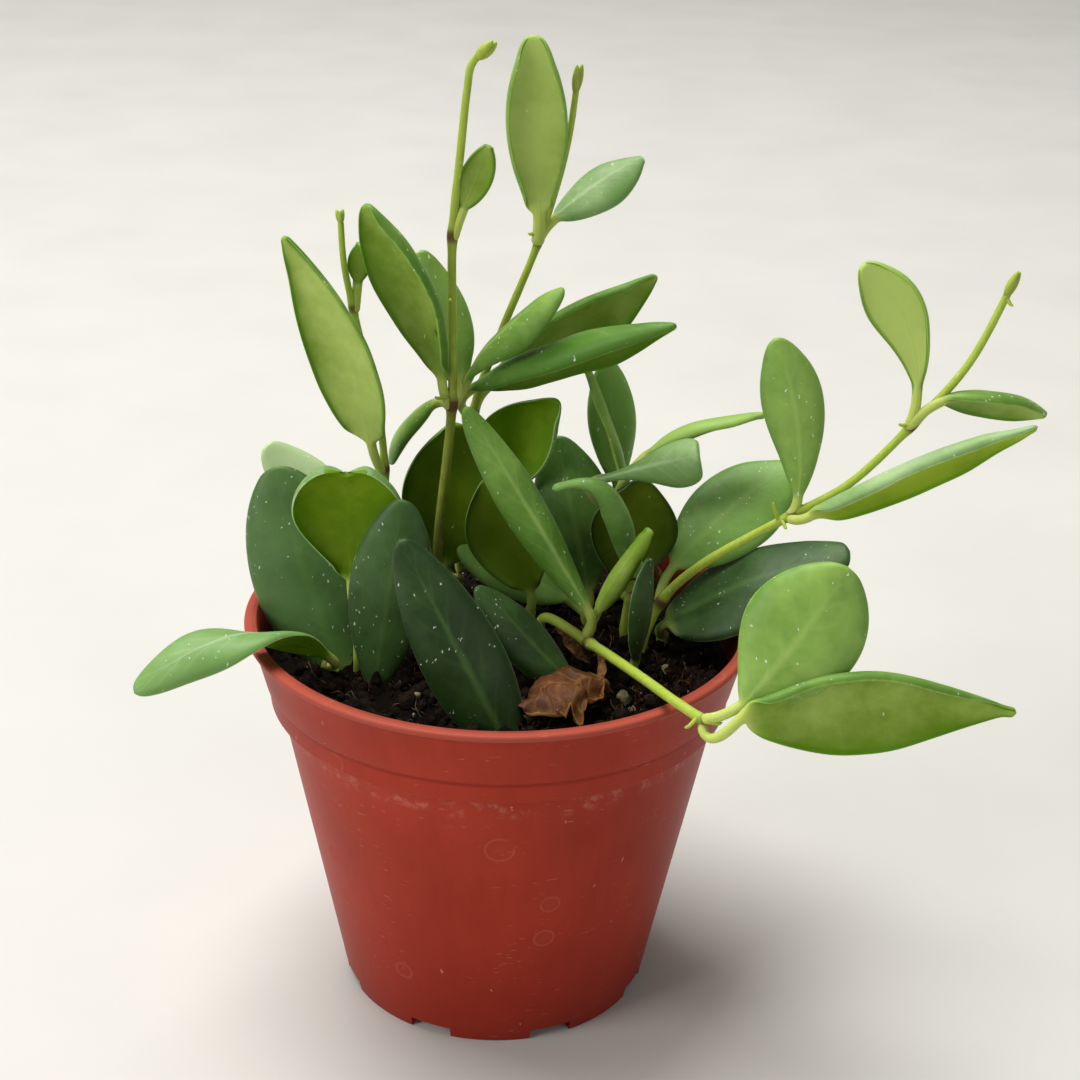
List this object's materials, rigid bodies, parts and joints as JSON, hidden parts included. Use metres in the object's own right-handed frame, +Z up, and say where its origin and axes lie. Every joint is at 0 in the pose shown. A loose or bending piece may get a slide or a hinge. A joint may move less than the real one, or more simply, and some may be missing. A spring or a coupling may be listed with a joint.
{
  "type": "potted hoya plant",
  "caption": "Young trailing hoya with thick folded leaves on upright and arching stems, rooted in dark soil in a plain round moulded nursery pot.",
  "frame": {"origin": "centre of the pot's base, on the surface that the pot stands on", "axes": "+Z up out of the pot, +X towards the long arching stem, -Y towards the runner that leans over the front of the rim"},
  "size_m": [0.175, 0.1089, 0.1985],
  "materials": {
    "pot_plastic": "satin",
    "potting_soil": "matte",
    "old_leaf": "satin",
    "young_leaf": "satin",
    "withered_leaf": "matte"
  },
  "bodies": {
    "root": {"pot": "pot_plastic", "soil": "potting_soil", "vine_tall": "young_leaf", "vine_left": "young_leaf", "vine_back": "young_leaf", "vine_right": "young_leaf", "cutting_right_low": "old_leaf", "runner_front": "young_leaf", "cutting_centre": "old_leaf", "cutting_centre_back": "old_leaf", "cutting_shaded": "old_leaf", "cutting_rolled": "old_leaf", "cutting_folded": "old_leaf", "cutting_upright": "old_leaf", "cutting_slim": "old_leaf", "cutting_left": "old_leaf", "cutting_heart": "young_leaf", "cutting_front_left": "old_leaf", "cutting_front": "old_leaf", "cutting_small": "old_leaf", "dead_leaf": "withered_leaf"}
  },
  "joints": []
}
